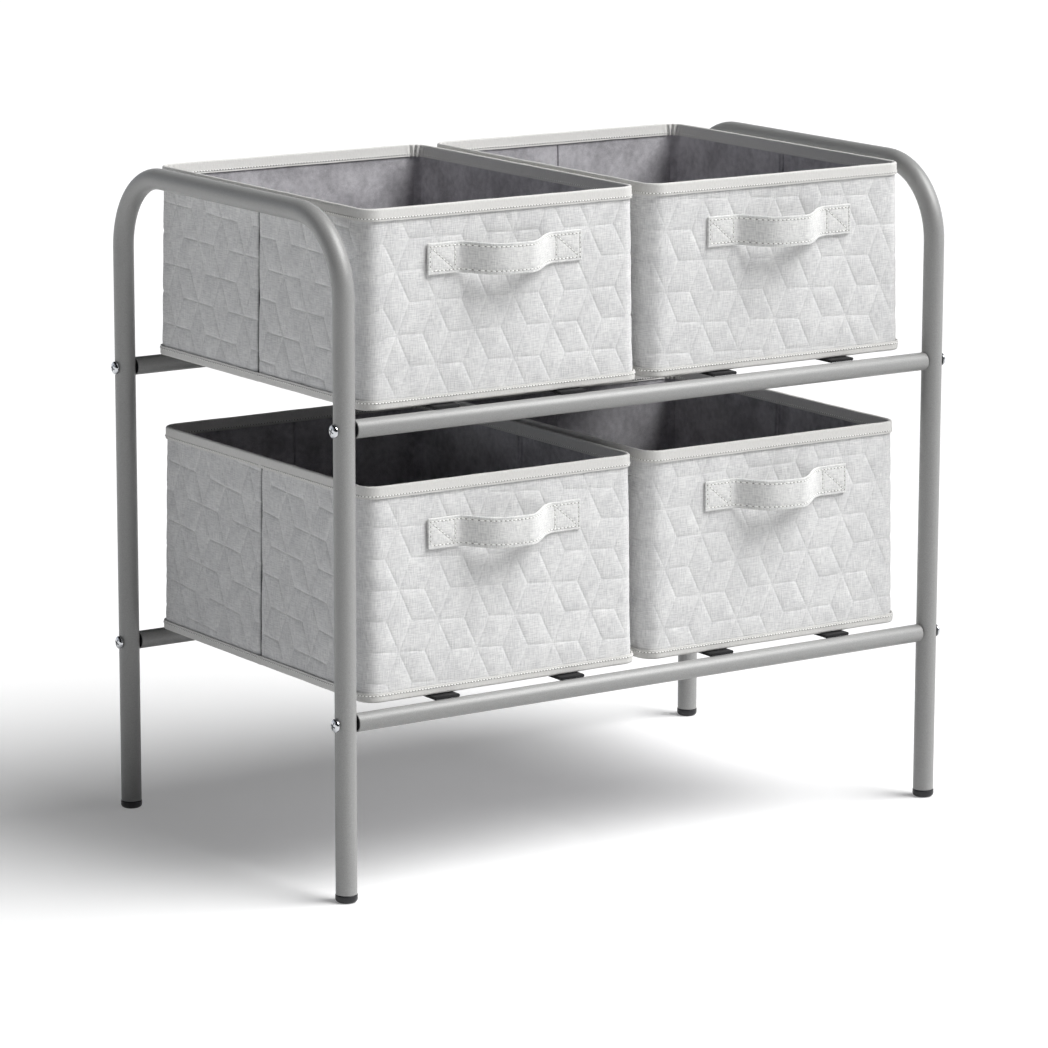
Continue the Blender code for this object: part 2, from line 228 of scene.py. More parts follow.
def place_on_piece(tree):
    """The place on a piece, in metres."""
    return add_node(tree, "ShaderNodeTexCoord").outputs["Object"]


def speckle(tree, place, size, detail, dimensions="3D"):
    """Noise between 0 and 1 whose spots have a real size, in metres."""
    return add_node(tree, "ShaderNodeTexNoise", {"noise_dimensions": dimensions}, Vector=place,
                    Scale=1 / size, Detail=detail).outputs["Fac"]


def raised(tree, height, strength, distance):
    """The surface's direction where noise raises it by up to a distance in metres."""
    return add_node(tree, "ShaderNodeBump", Strength=strength, Distance=distance, Height=height).outputs[0]


def finish_material(tree, **settings):
    """Gives the material a principled shader with these settings."""
    show(tree, add_node(tree, "ShaderNodeBsdfPrincipled", **settings))


powder_coat, tree = new_material("satin_powder_coat")
place = place_on_piece(tree)
flake = add_node(tree, "ShaderNodeTexVoronoi", Vector=place, Scale=1 / coat_flake_size)
flake_value = add_node(tree, "ShaderNodeSeparateColor", Color=flake.outputs["Color"]).outputs[0]
peel = speckle(tree, place, coat_peel_size, 1.0)
finish_material(tree, Base_Color=mix_tones(tree, flake_value, coat_grey, coat_flake),
                Metallic=0.15, Roughness=0.47, Normal=raised(tree, peel, 0.06, 0.0003))


def select_where(obj, kind, test):
    """In edit mode, selects only the faces, edges or vertices whose middle passes the test."""
    form = bmesh.from_edit_mesh(obj.data)
    for vert in form.verts:
        vert.select = False
    form.select_flush(False)
    for item in getattr(form, kind):
        places = [item.co] if kind == "verts" else [vert.co for vert in item.verts]
        if test(sum(places, Vector()) / len(places)):
            item.select_set(True)
    form.select_flush_mode()
    bmesh.update_edit_mesh(obj.data)


def leave_edit():
    ops.object.mode_set(mode="OBJECT")


def select_pieces(pieces):
    """Selects these pieces alone, the first of them active."""
    ops.object.select_all(action="DESELECT")
    for piece in pieces:
        piece.select_set(True)
    bpy.context.view_layer.objects.active = pieces[0]


def finish_piece(obj, name, material, body, slot, *nodes, sharp_degrees=35.0):
    """Names a piece, puts its place into its mesh, shades it, ties it to its body and hides the nodes it
    stands for.
    """
    obj.name = name
    obj.data.name = name
    select_pieces([obj])
    ops.object.transform_apply()
    ops.object.shade_smooth_by_angle(angle=math.radians(sharp_degrees))
    obj.data.materials.clear()
    obj.data.materials.append(material)
    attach(obj, body)
    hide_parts(*nodes)
    obj.select_set(False)


def apply_modifier(obj, name, kind, **settings):
    """Adds a modifier with these settings and applies it."""
    modifier = obj.modifiers.new(name, kind)
    for key_name, value in settings.items():
        setattr(modifier, key_name, value)
    bpy.context.view_layer.objects.active = obj
    ops.object.modifier_apply(modifier=modifier.name)


def extrude(*step):
    """Pulls the selected edges or faces out by a step."""
    ops.mesh.extrude_region_move(TRANSFORM_OT_translate={"value": step})


def sized(*scale):
    """The primitive that was just added, at its size."""
    shape = bpy.context.object
    shape.scale = scale
    ops.object.transform_apply()
    return shape


def weld(distance=weld_distance):
    """Merges the points that lie on one another, in edit mode."""
    ops.mesh.select_all(action="SELECT")
    ops.mesh.remove_doubles(threshold=distance)


def close_outward():
    """Turns all faces outward and leaves edit mode."""
    ops.mesh.select_all(action="SELECT")
    ops.mesh.normals_make_consistent(inside=False)
    leave_edit()


def make_side_frame(side):
    low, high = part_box("side_frame_" + side)
    middle = (low.x + high.x) / 2
    front = low.y + leg_radius + bend_radius
    rear = high.y - leg_radius - bend_radius
    spring = high.z - leg_radius - bend_radius
    ops.mesh.primitive_circle_add(
        vertices=tube_sides, radius=leg_radius, location=(middle, front - bend_radius, low.z))
    tube = bpy.context.object
    ops.object.transform_apply()
    ops.object.mode_set(mode="EDIT")
    extrude(0, 0, spring - low.z)
    ops.mesh.spin(steps=bend_steps, angle=math.pi / 2, center=(middle, front, spring), axis=(1, 0, 0))
    extrude(0, rear - front, 0)
    ops.mesh.spin(steps=bend_steps, angle=math.pi / 2, center=(middle, rear, spring), axis=(1, 0, 0))
    extrude(0, 0, low.z - spring)
    weld()
    close_outward()
    apply_modifier(tube, "wall", "SOLIDIFY", thickness=leg_wall, offset=-1.0)
    finish_piece(tube, "side_frame_tube_" + side, powder_coat, "rack", "powder_coat", "side_frame_" + side)


for side in sides:
    make_side_frame(side)


# Rails
# Four straight lengths of 16.5 mm steel tube in the same coat, sawn square and deburred. They
# run from leg to leg at the front and the rear, and each is held by a screw at either end.
rail_radius = 0.00825
rail_wall = 0.001
sawn_edge_round = 0.0002


def round_edges(obj, name, width, segments):
    """Rounds the square edges of a piece."""
    apply_modifier(obj, name, "BEVEL", width=width, segments=segments, angle_limit=math.radians(60))


def make_rail(name):
    low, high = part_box(name)
    middle = (low + high) / 2
    ops.mesh.primitive_cylinder_add(
        vertices=tube_sides, radius=rail_radius, depth=high.x - low.x, end_fill_type="NOTHING",
        location=middle, rotation=(0, math.pi / 2, 0))
    tube = bpy.context.object
    apply_modifier(tube, "wall", "SOLIDIFY", thickness=rail_wall, offset=-1.0)
    round_edges(tube, "deburred_ends", sawn_edge_round, 2)
    finish_piece(tube, name + "_tube", powder_coat, "rack", "powder_coat", name)


def names_of(kind, *words):
    """The names of one kind of piece, with every choice of words."""
    return ["_".join((kind, *choice)) for choice in product(*words)]


for name in names_of("rail", tiers, ends):
    make_rail(name)


# Rail plugs
# A black moulded plug is driven into each rail's end, flush with the cut, and takes the screw.
# Its ribs bite on the wall, and its face shows as a dark disc between rail and leg.
plug_radius = 0.00655
plug_rib_radius = 0.00695
plug_bore_radius = 0.0031
plug_edge_round = 0.0005
plug_rib_pitch = 0.0035
plug_collar = 0.001
plug_bore_chamfer = 0.0003
turned_sides = 36
plastic_black = "#17171A"
plastic_spark = "#232327"
plastic_grain_size = 0.0006

black_plastic, tree = new_material("moulded_black_polypropylene")
grain = speckle(tree, place_on_piece(tree), plastic_grain_size, 2.0)
finish_material(tree, Base_Color=mix_tones(tree, grain, plastic_black, plastic_spark), IOR=1.49,
                Roughness=0.38, Normal=raised(tree, grain, 0.15, 0.0001))


def turned(profile, axis_turn, place):
    """A turned shape: a filled circle, extruded and scaled through a profile of (radius, height)."""
    (radius, height), *steps = profile
    ops.mesh.primitive_circle_add(
        vertices=turned_sides, radius=radius, fill_type="TRIFAN", location=(0, 0, height))
    shape = bpy.context.object
    ops.object.transform_apply()
    ops.object.mode_set(mode="EDIT")
    select_where(shape, "verts", lambda co: co.xy.length > radius / 2)
    for next_radius, next_height in steps:
        ops.mesh.extrude_edges_move(TRANSFORM_OT_translate={"value": (0, 0, next_height - height)})
        share = next_radius / radius
        ops.transform.resize(value=(share, share, 1), center_override=(0, 0, next_height))
        radius, height = next_radius, next_height
    ops.mesh.edge_face_add()
    ops.mesh.poke()
    close_outward()
    shape.rotation_euler = (0, axis_turn, 0)
    shape.location = place
    ops.object.transform_apply()
    return shape


def arc_profile(centre, radius, start_degrees, end_degrees, steps):
    """Points of (radius, height) along an arc, for a turned edge or dome."""
    turns = [math.radians(start_degrees + (end_degrees - start_degrees) * k / steps)
             for k in range(steps + 1)]
    return [(centre[0] + radius * math.cos(turn), centre[1] + radius * math.sin(turn)) for turn in turns]


def make_plug(name):
    low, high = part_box(name)
    outward = 1 if low.x > 0 else -1
    length = high.x - low.x
    profile = [(plug_bore_radius, 0), (plug_radius - plug_edge_round, 0), (plug_radius, plug_edge_round)]
    rib = 2 * plug_rib_pitch
    while rib < length - plug_rib_pitch:
        profile += [(plug_radius, rib - plug_rib_pitch / 2), (plug_rib_radius, rib), (plug_radius, rib)]
        rib += plug_rib_pitch
    profile += [(plug_radius, length - plug_collar)]
    profile += arc_profile((plug_rib_radius - plug_edge_round, length - plug_edge_round),
                           plug_edge_round, 0, 90, 3)
    profile += [(plug_bore_radius + plug_bore_chamfer, length),
                (plug_bore_radius, length - plug_bore_chamfer), (plug_bore_radius, plug_edge_round)]
    face = high.x if outward > 0 else low.x
    middle = (low + high) / 2
    plug = turned(profile, outward * math.pi / 2, (face - outward * length, middle.y, middle.z))
    finish_piece(plug, name + "_moulding", black_plastic, "rack", "black_plastic", name)


for name in names_of("rail_plug", tiers, ends, sides):
    make_plug(name)


# Frame screws
# Chromed pan-head machine screws with a cross recess, one through each leg into a rail plug.
# The domed heads stand on the outside of the legs and catch the light as bright dots.
head_radius = 0.006
head_height = 0.0036
head_rim = 0.0011
head_edge = 0.0003
dome_steps = 8
shank_radius = 0.00285
shank_point = 0.0008
recess_span = 0.0064
recess_width = 0.0013
recess_depth = 0.0018
recess_turn = math.radians(20)
chrome_tint = "#C9CBCE"
chrome_haze_size = 0.004

chrome, tree = new_material("bright_chrome_plate")
haze = speckle(tree, place_on_piece(tree), chrome_haze_size, 3.0)
gloss = add_node(tree, "ShaderNodeMapRange", Value=haze, To_Min=0.07, To_Max=0.2)
finish_material(tree, Base_Color=linear(chrome_tint), Metallic=1.0, Roughness=gloss.outputs[0])


def make_screw(name):
    low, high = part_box(name)
    outward = 1 if low.x > 0 else -1
    length = high.x - low.x
    middle = (low + high) / 2
    seat = length - head_height
    dome_rise = head_height - head_rim
    profile = [(shank_radius - shank_point, 0), (shank_radius, shank_point), (shank_radius, seat),
               (head_radius - head_edge, seat), (head_radius, seat + head_edge),
               (head_radius, seat + head_rim)]
    turns = [k * 90 / dome_steps for k in range(1, dome_steps)]
    profile += [(head_radius * math.cos(math.radians(turn)),
                 seat + head_rim + dome_rise * math.sin(math.radians(turn))) for turn in turns]
    tail = low.x if outward > 0 else high.x
    screw = turned(profile, outward * math.pi / 2, (tail, middle.y, middle.z))
    crown = high.x if outward > 0 else low.x
    for turn in (0.0, math.pi / 2):
        ops.mesh.primitive_cube_add(size=1, location=(crown, middle.y, middle.z),
                                    rotation=(recess_turn + turn, 0, 0))
        blade = sized(2 * recess_depth, recess_span, recess_width)
        apply_modifier(screw, "recess", "BOOLEAN", operation="DIFFERENCE", solver="EXACT", object=blade)
        bpy.data.objects.remove(blade)
    finish_piece(screw, name + "_pan_head", chrome, "rack", "chromed_steel", name, sharp_degrees=40.0)


for name in names_of("frame_screw", tiers, ends, sides):
    make_screw(name)


# Slats
# Eight straps of 1.2 mm steel sheet, roll formed so that both long edges curl under. Their coat
# is drawn near black, a painted shade for the shadow of the bins above. They lie across the
# rails, two under each bin, and a short lip is turned down at either end to hook behind the
# rail's crown.
slat_sheet = 0.0012
slat_roll = 0.003
slat_lip = 0.0021
slat_lip_reach = 0.0015
roll_steps = 10
slat_painted_shade = "#111113"
slat_painted_shade_flake = "#1A1A1C"

# Painted shade: the slats' coat is near black, for the shadow that the bins cast on them.
slat_painted_shade_coat, tree = new_material("satin_graphite_coat")
peel = speckle(tree, place_on_piece(tree), coat_peel_size, 2.0)
finish_material(tree, Base_Color=mix_tones(tree, peel, slat_painted_shade, slat_painted_shade_flake), Roughness=0.5,
                Specular_IOR_Level=0.35, Normal=raised(tree, peel, 0.08, 0.0003))


def make_slat(name):
    low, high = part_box(name)
    middle = (low + high) / 2
    top = high.z - slat_sheet / 2
    roll_middle = high.z - slat_roll / 2
    flat_half = (high.x - low.x) / 2 - slat_roll / 2
    ops.mesh.primitive_plane_add(size=1, location=(middle.x, middle.y, top))
    slat = sized(2 * flat_half, high.y - low.y + 2 * slat_lip_reach, 1)
    ops.object.mode_set(mode="EDIT")
    for outward in (-1, 1):
        edge = middle.x + outward * flat_half
        select_where(slat, "edges", lambda co: abs(co.x - edge) < touch and abs(co.z - top) < touch)
        ops.mesh.spin(steps=roll_steps, angle=math.radians(270), center=(edge, middle.y, roll_middle),
                      axis=(0, -outward, 0))
    for end in (low.y - slat_lip_reach, high.y + slat_lip_reach):
        select_where(slat, "edges",
                     lambda co: abs(co.y - end) < touch and abs(co.x - middle.x) < flat_half / 2)
        extrude(0, 0, -slat_lip)
    weld()
    leave_edit()
    apply_modifier(slat, "sheet", "SOLIDIFY", thickness=slat_sheet, offset=0.0)
    round_edges(slat, "sheared_ends", sawn_edge_round, 2)
    finish_piece(slat, name + "_strap", slat_painted_shade_coat, "rack", "slat_coat", name)


for name in names_of("slat", tiers, sides, ("inner", "outer")):
    make_slat(name)


# Feet
# Black moulded glides pushed into the open ends of the legs. A hollow spigot grips the bore,
# and the rounded sole stands out from the leg by less than half a millimetre.
foot_radius = 0.0099
foot_height = 0.007
foot_sole_round = 0.0034
foot_sole_step = 0.001
foot_top_round = 0.0004
spigot_radius = 0.008
spigot_wall = 0.002
spigot_taper = (0.0006, 0.001)


def make_foot(name):
    low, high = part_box(name)
    middle = (low + high) / 2
    top = high.z - low.z
    profile = [(foot_radius - foot_sole_round - foot_sole_step, 0)]
    profile += arc_profile((foot_radius - foot_sole_round, foot_sole_round), foot_sole_round, -90, 0, 7)
    profile += arc_profile((foot_radius - foot_top_round, foot_height - foot_top_round),
                           foot_top_round, 0, 90, 3)
    profile += [(spigot_radius, foot_height), (spigot_radius, top - spigot_taper[1]),
                (spigot_radius - spigot_taper[0], top), (spigot_radius - spigot_wall, top),
                (spigot_radius - spigot_wall, foot_height)]
    foot = turned(profile, 0.0, (middle.x, middle.y, low.z))
    finish_piece(foot, name + "_glide", black_plastic, "rack", "black_plastic", name)


for name in names_of("foot", ends, sides):
    make_foot(name)


# Bin shells
# Each bin is a box of stiff board, covered outside with a heather linen quilted on thin wadding.
# Two U-shaped panels, front and back, meet in a seam down the middle of either side; painted shade darkens
# it.
# The quilting is a tumbling-block diamond, heat pressed, and its grooves are sharp and shallow.
shell_half_width = 0.1413
shell_half_depth = 0.1773
corner_radius = 0.0145
front_half = shell_half_width - corner_radius
side_half = shell_half_depth - corner_radius
corner_run = corner_radius * math.pi / 2
panel_half = front_half + corner_run + side_half
panel_length = 2 * panel_half
flare = 0.0029
fabric_sheet = 0.0008
diamond_edge = 0.0266
diamond_rise = 0.0277
groove_steps = ((0.0014, 0.00037), (0.0026, 0.00025), (0.004, 0.00018))
side_relief = 1.7
corner_relief = 0.5
seam_ease = 0.004
groove_depth = sum(step[1] for step in groove_steps)
relief_fade = 0.01
relief_places = (front_half - relief_fade, front_half + 0.2 * corner_run, front_half + 0.8 * corner_run,
                 front_half + corner_run + relief_fade, panel_half - seam_ease, panel_half)
relief_shares = (1.0, corner_relief, corner_relief, side_relief, side_relief, 0.0)
seam_dip = 0.0012
seam_reach = 0.0018
seam_cuts = (0.0005, 0.001, 0.002, seam_ease)
seam_weld = 0.00003
quilt_wander = 0.0009
quilt_wander_size = 0.045
panel_swell = 0.0009
panel_swell_size = 0.09
panel_swell_fade = 0.03
quilt_reach = 0.15
sewn_edge = 0.007
sewn_squash = 0.3
quilt_placing = {
    "bin_upper_left": (0.0092, 0.0840, 0.020, 0.020), "bin_upper_right": (-0.0042, 0.0760, 0.056, 0.0),
    "bin_lower_left": (0.0110, 0.0730, 0.078, 0.0), "bin_lower_right": (-0.0028, 0.0810, 0.004, 0.0)}

linen_light = "#F6F6F5"
linen_dark = "#D0D0D1"
# The tone of the painted shade along the side seams.
seam_painted_shadow = "#3A3A3C"
linen_thread = 0.0009
linen_slub_length = 0.009
linen_cloud_size = 0.022


def place_on_cloth(tree):
    """The place on a cloth before it was bent, in metres."""
    return add_node(tree, "ShaderNodeUVMap", {"uv_map": "laid_flat"}).outputs[0]


def threads_along(tree, length, width):
    """Noise drawn out along the cloth's threads, to a length and a width."""
    stretched = add_node(tree, "ShaderNodeMapping", Vector=place_on_cloth(tree),
                         Scale=(1 / length, 1 / width, 1.0))
    return speckle(tree, stretched.outputs[0], 1.0, 2.0, "2D")


def woven(tree, slub_length, thread):
    """Slubby threads that cross each other, as noise between 0 and 2."""
    return calculate(tree, "ADD", _0=threads_along(tree, slub_length, thread),
                     _1=threads_along(tree, thread, slub_length))


def shaded(tree, value, low, high):
    """A value's share of the way from low to high, between 0 and 1."""
    return add_node(tree, "ShaderNodeMapRange", Value=value, From_Min=low, From_Max=high).outputs[0]


heather_linen, tree = new_material("woven_heather_linen")
crossing = woven(tree, linen_slub_length, linen_thread)
clouds = speckle(tree, place_on_cloth(tree), linen_cloud_size, 2.0, "2D")
mottle = calculate(tree, "MULTIPLY_ADD", _0=clouds, _1=0.5, _2=crossing)
colour = mix_tones(tree, shaded(tree, mottle, 0.85, 1.65), linen_dark, linen_light)
# Painted shade: a dark tone along the seam, where the slit between the panels falls into shadow.
painted_seam_shade = add_node(tree, "ShaderNodeAttribute", {"attribute_name": "seam_slit"}).outputs["Fac"]
finish_material(tree, Base_Color=mix_tones(tree, painted_seam_shade, colour, seam_painted_shadow), Roughness=0.9,
                Sheen_Weight=0.15, Sheen_Roughness=0.5, Specular_IOR_Level=0.25,
                Normal=raised(tree, crossing, 0.35, 0.0005))


def read_points(obj):
    """The places of a mesh's vertices, as three arrays: along, depth and rise, or x, y and z."""
    flat = np.empty(3 * len(obj.data.vertices))
    obj.data.vertices.foreach_get("co", flat)
    return flat.reshape(-1, 3).T.copy()


def write_points(obj, points):
    obj.data.vertices.foreach_set("co", np.ascontiguousarray(np.array(points).T).ravel())
    obj.data.update()


def ripple(points, size, seed):
    """Smooth noise between about -1 and 1 at each point."""
    shift = Vector((seed * 17.3, seed * 5.1, seed * 9.7))
    return np.array([noise.noise(Vector(point) / size + shift) for point in np.array(points).T])


def lay_uv(obj):
    """A UV map in metres, read from the piece while it lies flat and faces the front."""
    along, depth, rise = read_points(obj)
    corner = np.empty(len(obj.data.loops), dtype=np.int32)
    obj.data.loops.foreach_get("vertex_index", corner)
    for layer in list(obj.data.uv_layers):
        obj.data.uv_layers.remove(layer)
    layer = obj.data.uv_layers.new(name="laid_flat")
    layer.data.foreach_set("uv", np.stack((along[corner], rise[corner]), axis=1).ravel())


def wrap_round_bin(obj, bin_name):
    """Bends a flat piece round a bin: x runs along the walls from the middle of the front."""
    low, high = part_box(bin_name + "_shell")
    middle = (low + high) / 2
    along, depth, rise = read_points(obj)
    panel = np.round(along / panel_length)
    run = along - panel * panel_length
    side = np.sign(run)
    run = np.abs(run)
    spread = flare * (1 - rise / (high.z - low.z))
    turn = np.clip((run - front_half) / corner_run, 0, 1) * math.pi / 2
    front_share = np.clip(run / front_half, 0, 1)
    side_share = np.clip((run - front_half - corner_run) / side_half, 0, 1)
    reach = corner_radius - depth
    x = (front_half + spread) * front_share + reach * np.sin(turn)
    y = -(side_half + spread) * (1 - side_share) - reach * np.cos(turn)
    facing = np.where(panel % 2 == 0, 1.0, -1.0)
    write_points(obj, (facing * side * x + middle.x, facing * y + middle.y, rise + low.z))


def add_again(obj):
    """A copy of a piece with its own mesh."""
    again = obj.copy()
    again.data = obj.data.copy()
    bpy.context.collection.objects.link(again)
    return again


def repeat(obj, name, count, step, joined=True):
    """The piece and its copies in a row, a step apart, joined where they meet or left apart."""
    apply_modifier(obj, name, "ARRAY", count=count, use_relative_offset=False, use_constant_offset=True,
                   constant_offset_displace=step, use_merge_vertices=joined, merge_threshold=weld_distance)


def make_quilt():
    """A flat field of quilted diamonds that faces the front, larger than any panel."""
    ops.mesh.primitive_circle_add(vertices=6, radius=diamond_edge, fill_type="TRIFAN",
                                  rotation=(math.pi / 2, math.pi / 6, 0))
    quilt = bpy.context.object
    quilt.name = "quilt_field"
    ops.object.transform_apply()
    ops.object.mode_set(mode="EDIT")
    ops.transform.resize(value=(1, 1, diamond_rise / (diamond_edge * math.sin(math.pi / 3))))
    half = Vector((diamond_edge / 4, 0, diamond_rise / 2))
    spokes = (Vector((-half.x, 0, half.z)), Vector((-half.x, 0, -half.z)), Vector((2 * half.x, 0, 0)))
    select_where(quilt, "edges", lambda co: min((co - spoke).length for spoke in spokes) < 10 * touch)
    ops.mesh.dissolve_edges(use_verts=False)
    ops.mesh.select_all(action="SELECT")
    for thickness, depth in groove_steps:
        ops.mesh.inset(thickness=thickness, depth=depth, use_individual=True)
    ops.mesh.select_all(action="SELECT")
    ops.mesh.subdivide(number_cuts=2)
    ops.mesh.duplicate_move(TRANSFORM_OT_translate={"value": (1.5 * diamond_edge, 0, diamond_rise)})
    leave_edit()
    columns = 2 * math.ceil(panel_half / (3 * diamond_edge)) + 3
    rows = 2 * math.ceil(quilt_reach / (2 * diamond_rise)) + 2
    repeat(quilt, "columns", columns, (3 * diamond_edge, 0, 0), joined=False)
    repeat(quilt, "rows", rows, (0, 0, 2 * diamond_rise), joined=False)
    quilt.location = (-columns // 2 * 3 * diamond_edge + diamond_edge, 0, -rows // 2 * 2 * diamond_rise)
    ops.object.transform_apply()
    ops.object.mode_set(mode="EDIT")
    weld()
    leave_edit()
    return quilt


def open_for_edit(obj):
    """Puts one piece alone in edit mode, all selected."""
    select_pieces([obj])
    ops.object.mode_set(mode="EDIT")
    ops.mesh.select_all(action="SELECT")


def cut(obj, place, normal, trims=False):
    """Adds an edge along a plane. Where it trims, what lies beyond in the normal's direction goes."""
    open_for_edit(obj)
    ops.mesh.bisect(plane_co=place, plane_no=normal, clear_outer=trims)
    leave_edit()


def make_panel(quilt, bin_name, height, facing):
    """One U-shaped panel, laid flat: its half of the quilt with the seam's dips, the swell, and a mask of
    painted shade along the seam.
    """
    place_along, place_below, slope, side_drop = quilt_placing[bin_name]
    panel = add_again(quilt)
    along, depth, rise = read_points(panel)
    wander_x, wander_z = (ripple((along, depth, rise), quilt_wander_size, facing + seed) for seed in (1, 4))
    askew = np.clip((np.abs(along) - front_half) / (2 * corner_run), 0, 1)
    along = along + place_along + quilt_wander * wander_x
    rise = rise + height - place_below - slope * along - side_drop * askew * (along < 0)
    rise = rise + quilt_wander * wander_z
    write_points(panel, (along, depth, rise))
    cut(panel, (0, 0, 0), (0, 0, -1), trims=True)
    cut(panel, (0, 0, height), (0, 0, 1), trims=True)
    for cut_in in seam_cuts + (0.0,):
        cut(panel, (cut_in - panel_half, 0, 0), (-1, 0, 0), trims=cut_in == 0)
        cut(panel, (panel_half - cut_in, 0, 0), (1, 0, 0), trims=cut_in == 0)
    lay_uv(panel)
    along, depth, rise = read_points(panel)
    to_seam = panel_half - np.abs(along)
    dip = seam_dip * np.exp(-(to_seam / seam_reach) ** 2)
    seed = len(bin_name) - len("bin_") + facing
    swell = panel_swell * ripple((along, 0 * along, rise), panel_swell_size, seed)
    from_edge = np.minimum(rise, height - rise)
    puff = np.clip((from_edge - sewn_edge) / sewn_edge, sewn_squash, 1)
    puff = puff * np.interp(np.abs(along), relief_places, relief_shares)
    # Painted shade along the seam: a mask from 1 at the seam falling to 0 a little away from it.
    painted_seam_shade = panel.data.attributes.new("seam_slit", "FLOAT", "POINT")
    painted_seam_shade.data.foreach_set("value", np.clip(1.5 - to_seam / seam_cuts[1], 0, 1))
    depth = depth * puff + groove_depth + dip - swell * np.clip(from_edge / panel_swell_fade, 0, 1)
    write_points(panel, (along + facing * panel_length, depth, rise))
    return panel


def make_shell(quilt, bin_name):
    low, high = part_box(bin_name + "_shell")
    height = high.z - low.z
    panels = [make_panel(quilt, bin_name, height, facing) for facing in (0, 1)]
    select_pieces(panels)
    ops.object.join()
    shell = panels[0]
    wrap_round_bin(shell, bin_name)
    open_for_edit(shell)
    weld(seam_weld)
    leave_edit()
    apply_modifier(shell, "fabric", "SOLIDIFY", thickness=fabric_sheet, offset=-1.0)
    finish_piece(shell, bin_name + "_quilted_walls", heather_linen, bin_name,
                 "quilted_fabric", bin_name + "_shell")


quilt = make_quilt()
bins = names_of("bin", tiers, sides)
for bin_name in bins:
    make_shell(quilt, bin_name)
bpy.data.objects.remove(quilt)


# Linings
# A loose inner bag of grey non-woven felt, closed by a seam down the back wall and creased down
# the middle of each side. It is caught under the rim tape and hangs a little slack.
lining_sheet = 0.0008
wall_thickness = 0.0024
layer_gap = 0.0003
lining_slack = 0.0016
lining_columns = 242
lining_rows = 30
tape_sheet = 0.0009
rim_tape_height = 0.011
lining_below_rim = 0.004
rim_fold = 0.0013
seam_groove = 0.0016
seam_reaches = (0.0007, 0.0016)
bins_without_back_seam = ("bin_upper_left",)
side_crease = 0.0026
corner_folds = 0.0007
corner_fold_width = 0.0085
corner_fold_lean = 6
held_below = 0.002
held_above = 0.012
lining_fade = 0.03
slack_even = 0.6
slack_size = 0.055
slack_ring = 0.11
floor_border = 0.003
felt_dark = "#A7A5AA"
felt_light = "#DAD8DC"
felt_sizes = (0.0007, 0.006, 0.03)


def felt_material(name, dark, light):
    """Needled felt between two tones: matted fibres, blotches where it is thin, and wide clouds."""
    material, tree = new_material(name)
    place = place_on_piece(tree)
    fibre, blotch, cloud = (speckle(tree, place, size, 3.0) for size in felt_sizes)
    mottle = calculate(tree, "ADD", _0=fibre, _1=blotch)
    mottle = calculate(tree, "MULTIPLY_ADD", _0=cloud, _1=1.6, _2=mottle)
    finish_material(tree, Base_Color=mix_tones(tree, shaded(tree, mottle, 1.4, 2.2), dark, light),
                    Roughness=0.95, Specular_IOR_Level=0.2, Sheen_Weight=0.2, Sheen_Roughness=0.6,
                    Normal=raised(tree, fibre, 0.4, 0.0003))
    return material


grey_felt = felt_material("grey_needled_felt", felt_dark, felt_light)


def rim_slant(rise, wall_height):
    """How far in the inner flap of the rim tape lies: it slants from the thin fold to the lining."""
    fold_rise = wall_height + layer_gap + tape_sheet / 2 - rim_fold
    share = np.clip((fold_rise - rise) / (rim_tape_height - tape_sheet / 2 - rim_fold), 0, None)
    near = 2 * rim_fold - layer_gap - tape_sheet / 2
    far = wall_thickness + lining_sheet + 2 * layer_gap + tape_sheet / 2
    return near + (far - near) * share


def make_lining(bin_name):
    low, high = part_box(bin_name + "_shell")
    lining_low, lining_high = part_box(bin_name + "_lining")
    floor_rise = lining_low.z - low.z
    wall_rise = lining_high.z - lining_low.z - lining_below_rim
    depth_in = wall_thickness + layer_gap + lining_sheet / 2
    ops.mesh.primitive_grid_add(x_subdivisions=lining_columns, y_subdivisions=lining_rows, size=1,
                                location=(0, depth_in, floor_rise + wall_rise / 2),
                                rotation=(-math.pi / 2, 0, 0))
    lining = sized(2 * panel_length, wall_rise, 1)
    creases = [panel_length, -panel_length]
    creases += [where + shift for where in (-panel_half, panel_half)
                for shift in (-side_crease, side_crease)]
    for crease in creases:
        for shift in (0.0,) + seam_reaches:
            for where in (crease - shift, crease + shift):
                if abs(where) < panel_length - touch:
                    cut(lining, (where, 0, 0), (1, 0, 0))
    along, depth, rise = read_points(lining)
    for crease in creases:
        groove = np.clip(1 - np.abs(along - crease) / seam_reaches[1], 0, 1)
        depth = depth - seam_groove * groove * (bin_name not in bins_without_back_seam)
    seed = len(bin_name) + (1 if "upper" in bin_name else -1)
    to_held = np.minimum(rise - floor_rise - held_below, high.z - low.z - held_above - rise)
    held = np.clip(to_held / lining_fade, 0, 1)
    around = along / panel_length * math.pi
    slack = ripple((slack_ring * np.cos(around), slack_ring * np.sin(around), rise), slack_size, seed)
    from_corner = np.abs(np.abs(np.abs(along) - panel_half) - side_half - corner_run / 2)
    at_corner = np.clip(1 - from_corner / lining_fade, 0, 1) * held
    folds = np.sin(2 * math.pi * along / corner_fold_width + corner_fold_lean * rise) * at_corner
    tucked = rim_slant(rise, high.z - low.z) - (tape_sheet + lining_sheet) / 2
    inside = np.minimum(depth + lining_slack * held * (slack_even + slack) + corner_folds * folds, tucked)
    write_points(lining, (along, inside, rise))
    wrap_round_bin(lining, bin_name)
    open_for_edit(lining)
    weld(seam_weld)
    select_where(lining, "edges", lambda co: co.z < lining_low.z + touch)
    ops.mesh.edge_face_add()
    ops.mesh.inset(thickness=floor_border, depth=0)
    close_outward()
    apply_modifier(lining, "felt", "SOLIDIFY", thickness=lining_sheet, offset=0.0)
    finish_piece(lining, bin_name + "_lining_bag", grey_felt, bin_name,
                 "lining_felt", bin_name + "_lining")


for bin_name in bins:
    make_lining(bin_name)
